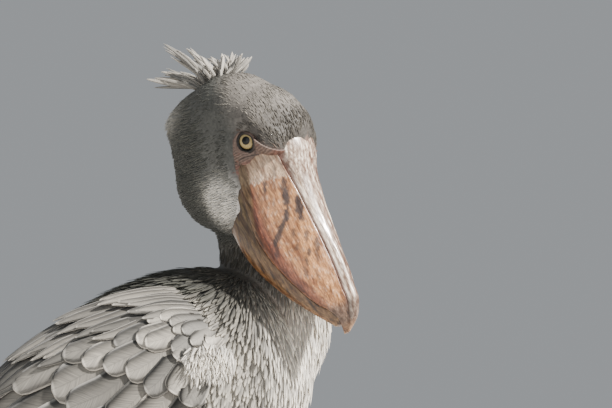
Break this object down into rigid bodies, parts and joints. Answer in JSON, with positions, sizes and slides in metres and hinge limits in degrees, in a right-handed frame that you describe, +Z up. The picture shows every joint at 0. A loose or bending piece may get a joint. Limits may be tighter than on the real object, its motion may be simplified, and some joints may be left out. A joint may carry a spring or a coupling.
{
  "type": "shoebill",
  "caption": "Life-size shoebill standing at rest, its huge bill lowered and its wings and tail folded behind.",
  "frame": {"origin": "centre of the bird's box at the level of the floor under its feet", "axes": "+X where the body faces, +Y to the bird's left, +Z up"},
  "size_m": [0.7356, 0.3116, 1.0671],
  "materials": {
    "slate_feathers": "soft slate-grey feathers",
    "pale_feathers": "pale grey feathers with light edges",
    "horn": "tan and pink bill horn blotched with grey brown, faintly glossy",
    "iris": "wet pale yellow iris with a black pupil",
    "leg_skin": "dark grey scaled leg skin",
    "claw": "dark horn claws"
  },
  "bodies": {
    "root": {"head": "slate_feathers", "eye_right": "iris", "eye_left": "iris", "bill_upper": "horn", "bill_lower": "horn", "neck": "slate_feathers", "torso": "slate_feathers", "tail": "slate_feathers", "wing_right": "pale_feathers", "wing_left": "pale_feathers", "thigh_right": "slate_feathers", "thigh_left": "slate_feathers", "shank_right": "leg_skin", "shank_left": "leg_skin", "toe_inner_right": "leg_skin", "toe_middle_right": "leg_skin", "toe_outer_right": "leg_skin", "toe_hind_right": "leg_skin", "toe_inner_left": "leg_skin", "toe_middle_left": "leg_skin", "toe_outer_left": "leg_skin", "toe_hind_left": "leg_skin", "claw_inner_right": "claw", "claw_middle_right": "claw", "claw_outer_right": "claw", "claw_hind_right": "claw", "claw_inner_left": "claw", "claw_middle_left": "claw", "claw_outer_left": "claw", "claw_hind_left": "claw"}
  },
  "joints": []
}
